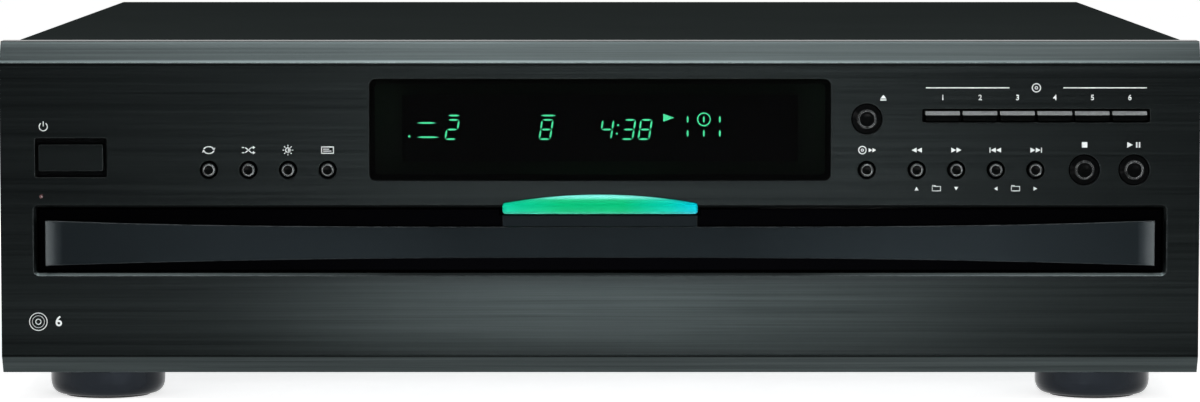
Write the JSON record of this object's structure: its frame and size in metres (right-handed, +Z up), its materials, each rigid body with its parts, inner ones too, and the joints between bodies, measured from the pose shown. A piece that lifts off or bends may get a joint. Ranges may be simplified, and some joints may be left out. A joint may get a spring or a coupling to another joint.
{
  "type": "multi disc cd changer",
  "caption": "Full-width carousel disc changer: wide drawer with a turning disc table, playing mechanism behind, display window, green lens and rows of push buttons.",
  "frame": {"origin": "middle of the footprint, on the surface the feet stand on", "axes": "+X to the right seen from the front, +Y to the back, +Z up; the front faces -Y"},
  "size_m": [0.435, 0.433, 0.131],
  "materials": {
    "black_aluminium": "black anodised, brushed left to right",
    "black_steel": "fine textured black paint",
    "plain_steel": "zinc plated sheet",
    "black_plastic": "fine satin moulding",
    "drawer_plastic": "satin, grey black",
    "button_gloss": "polished",
    "window_gloss": "polished smoked pane",
    "lens_green": "clear green, lit from behind",
    "foot_gloss": "polished",
    "pad_rubber": "soft",
    "screw_steel": "blackened",
    "board_green": "solder mask",
    "part_dark": "moulded cases",
    "tube_glass": "clear glass tube",
    "core_steel": "varnished laminations",
    "socket_metal": "plated",
    "gear_plastic": "natural acetal",
    "motor_steel": "plated can",
    "rod_steel": "ground"
  },
  "bodies": {
    "root": {"bottom_chassis": "plain_steel", "top_cover": "black_steel", "rear_panel": "black_steel", "front_panel": "black_aluminium", "front_frame": "black_plastic", "display_window": "window_gloss", "light_lens": "lens_green", "feet": "foot_gloss", "foot_pads": "pad_rubber", "case_screws": "screw_steel", "front_board": "board_green", "key_switches": "part_dark", "display_tube": "tube_glass", "main_board": "board_green", "board_parts": "part_dark", "transformer": "core_steel", "power_inlet": "black_plastic", "audio_jacks": "socket_metal", "digital_jacks": "socket_metal", "tray_rails": "black_plastic", "loading_motor": "motor_steel", "loading_belt": "pad_rubber", "mech_base": "plain_steel", "clamp_bridge": "plain_steel"},
    "tray": {"tray": "black_plastic", "tray_front": "drawer_plastic", "carousel_motor": "motor_steel"},
    "carousel": {"carousel": "black_plastic", "carousel_cap": "black_plastic"},
    "carousel_pinion": {"carousel_pinion": "gear_plastic"},
    "motor_pulley": {"motor_pulley": "gear_plastic"},
    "pulley_gear": {"pulley_gear": "gear_plastic"},
    "drive_gear": {"drive_gear": "gear_plastic"},
    "lift_slider": {"lift_slider": "gear_plastic"},
    "traverse": {"traverse_frame": "plain_steel", "traverse_motors": "motor_steel", "guide_rods": "rod_steel"},
    "disc_hub": {"disc_hub": "black_plastic"},
    "pickup": {"pickup": "part_dark"},
    "clamper": {"clamper": "gear_plastic"},
    "sled_gear": {"sled_gear": "gear_plastic"},
    "repeat_button": {"repeat_button": "button_gloss"},
    "random_button": {"random_button": "button_gloss"},
    "dimmer_button": {"dimmer_button": "button_gloss"},
    "display_button": {"display_button": "button_gloss"},
    "disc_skip_button": {"disc_skip_button": "button_gloss"},
    "search_back_button": {"search_back_button": "button_gloss"},
    "search_forward_button": {"search_forward_button": "button_gloss"},
    "track_back_button": {"track_back_button": "button_gloss"},
    "track_forward_button": {"track_forward_button": "button_gloss"},
    "open_close_button": {"open_close_button": "button_gloss"},
    "stop_button": {"stop_button": "button_gloss"},
    "play_pause_button": {"play_pause_button": "button_gloss"},
    "disc_button_1": {"disc_button_1": "button_gloss"},
    "disc_button_2": {"disc_button_2": "button_gloss"},
    "disc_button_3": {"disc_button_3": "button_gloss"},
    "disc_button_4": {"disc_button_4": "button_gloss"},
    "disc_button_5": {"disc_button_5": "button_gloss"},
    "disc_button_6": {"disc_button_6": "button_gloss"},
    "power_button": {"power_button": "button_gloss"}
  },
  "joints": [
    {"name": "tray_slide", "type": "slide", "parent": "root", "child": "tray", "axis": [0, -1, 0], "range_m": [0, 0.285]},
    {"name": "carousel_turn", "type": "hinge", "parent": "tray", "child": "carousel", "pos_m": [0, -0.01, 0.06], "axis": [0, 0, 1], "continuous": true},
    {"name": "carousel_pinion_turn", "type": "hinge", "parent": "tray", "child": "carousel_pinion", "pos_m": [0, -0.085, 0.058], "axis": [0, 0, 1], "continuous": true},
    {"name": "drive_gear_turn", "type": "hinge", "parent": "root", "child": "drive_gear", "pos_m": [0.0595, -0.165, 0.04], "axis": [0, 0, 1], "range_deg": [-1556, 1]},
    {"name": "pulley_gear_turn", "type": "hinge", "parent": "root", "child": "pulley_gear", "pos_m": [0.0295, -0.165, 0.038], "axis": [0, 0, 1], "range_deg": [-1, 6222]},
    {"name": "motor_pulley_turn", "type": "hinge", "parent": "root", "child": "motor_pulley", "pos_m": [-0.0105, -0.165, 0.035], "axis": [0, 0, 1], "range_deg": [-1, 21773]},
    {"name": "traverse_lift", "type": "slide", "parent": "root", "child": "traverse", "axis": [0, 0, 1], "range_m": [0, 0.014]},
    {"name": "lift_slider_slide", "type": "slide", "parent": "root", "child": "lift_slider", "axis": [0, -1, 0], "range_m": [-0.0002, 0.0282]},
    {"name": "disc_hub_spin", "type": "hinge", "parent": "traverse", "child": "disc_hub", "pos_m": [0, 0.115, 0.05], "axis": [0, 0, 1], "continuous": true},
    {"name": "clamper_spin", "type": "hinge", "parent": "root", "child": "clamper", "pos_m": [0, 0.115, 0.07], "axis": [0, 0, 1], "continuous": true},
    {"name": "pickup_slide", "type": "slide", "parent": "traverse", "child": "pickup", "axis": [0, 1, 0], "range_m": [0, 0.033]},
    {"name": "sled_gear_turn", "type": "hinge", "parent": "traverse", "child": "sled_gear", "pos_m": [0.0194, 0.161, 0.036], "axis": [0, 0, 1], "range_deg": [-296, 1]},
    {"name": "repeat_press", "type": "slide", "parent": "root", "child": "repeat_button", "axis": [0, 1, 0], "range_m": [0, 0.0008], "stiffness_N_per_m": 1500, "springref_m": -0.0004},
    {"name": "random_press", "type": "slide", "parent": "root", "child": "random_button", "axis": [0, 1, 0], "range_m": [0, 0.0008], "stiffness_N_per_m": 1500, "springref_m": -0.0004},
    {"name": "dimmer_press", "type": "slide", "parent": "root", "child": "dimmer_button", "axis": [0, 1, 0], "range_m": [0, 0.0008], "stiffness_N_per_m": 1500, "springref_m": -0.0004},
    {"name": "display_press", "type": "slide", "parent": "root", "child": "display_button", "axis": [0, 1, 0], "range_m": [0, 0.0008], "stiffness_N_per_m": 1500, "springref_m": -0.0004},
    {"name": "disc_skip_press", "type": "slide", "parent": "root", "child": "disc_skip_button", "axis": [0, 1, 0], "range_m": [0, 0.0008], "stiffness_N_per_m": 1500, "springref_m": -0.0004},
    {"name": "search_back_press", "type": "slide", "parent": "root", "child": "search_back_button", "axis": [0, 1, 0], "range_m": [0, 0.0008], "stiffness_N_per_m": 1500, "springref_m": -0.0004},
    {"name": "search_forward_press", "type": "slide", "parent": "root", "child": "search_forward_button", "axis": [0, 1, 0], "range_m": [0, 0.0008], "stiffness_N_per_m": 1500, "springref_m": -0.0004},
    {"name": "track_back_press", "type": "slide", "parent": "root", "child": "track_back_button", "axis": [0, 1, 0], "range_m": [0, 0.0008], "stiffness_N_per_m": 1500, "springref_m": -0.0004},
    {"name": "track_forward_press", "type": "slide", "parent": "root", "child": "track_forward_button", "axis": [0, 1, 0], "range_m": [0, 0.0008], "stiffness_N_per_m": 1500, "springref_m": -0.0004},
    {"name": "open_close_press", "type": "slide", "parent": "root", "child": "open_close_button", "axis": [0, 1, 0], "range_m": [0, 0.0008], "stiffness_N_per_m": 1500, "springref_m": -0.0004},
    {"name": "stop_press", "type": "slide", "parent": "root", "child": "stop_button", "axis": [0, 1, 0], "range_m": [0, 0.0008], "stiffness_N_per_m": 1500, "springref_m": -0.0004},
    {"name": "play_pause_press", "type": "slide", "parent": "root", "child": "play_pause_button", "axis": [0, 1, 0], "range_m": [0, 0.0008], "stiffness_N_per_m": 1500, "springref_m": -0.0004},
    {"name": "disc_1_press", "type": "slide", "parent": "root", "child": "disc_button_1", "axis": [0, 1, 0], "range_m": [0, 0.0008], "stiffness_N_per_m": 1500, "springref_m": -0.0004},
    {"name": "disc_2_press", "type": "slide", "parent": "root", "child": "disc_button_2", "axis": [0, 1, 0], "range_m": [0, 0.0008], "stiffness_N_per_m": 1500, "springref_m": -0.0004},
    {"name": "disc_3_press", "type": "slide", "parent": "root", "child": "disc_button_3", "axis": [0, 1, 0], "range_m": [0, 0.0008], "stiffness_N_per_m": 1500, "springref_m": -0.0004},
    {"name": "disc_4_press", "type": "slide", "parent": "root", "child": "disc_button_4", "axis": [0, 1, 0], "range_m": [0, 0.0008], "stiffness_N_per_m": 1500, "springref_m": -0.0004},
    {"name": "disc_5_press", "type": "slide", "parent": "root", "child": "disc_button_5", "axis": [0, 1, 0], "range_m": [0, 0.0008], "stiffness_N_per_m": 1500, "springref_m": -0.0004},
    {"name": "disc_6_press", "type": "slide", "parent": "root", "child": "disc_button_6", "axis": [0, 1, 0], "range_m": [0, 0.0008], "stiffness_N_per_m": 1500, "springref_m": -0.0004},
    {"name": "power_press", "type": "slide", "parent": "root", "child": "power_button", "axis": [0, 1, 0], "range_m": [0, 0.0015], "stiffness_N_per_m": 1500, "springref_m": -0.0004}
  ],
  "couplings": [
    {"joint": "drive_gear_turn", "follows": "tray_slide", "rad_per_m": -95.238},
    {"joint": "pulley_gear_turn", "follows": "tray_slide", "rad_per_m": 380.95},
    {"joint": "motor_pulley_turn", "follows": "tray_slide", "rad_per_m": 1333.3},
    {"joint": "carousel_pinion_turn", "follows": "carousel_turn", "ratio": -7.3333},
    {"joint": "lift_slider_slide", "follows": "traverse_lift", "ratio": 2},
    {"joint": "clamper_spin", "follows": "disc_hub_spin", "ratio": 1},
    {"joint": "sled_gear_turn", "follows": "pickup_slide", "rad_per_m": -156.25}
  ]
}
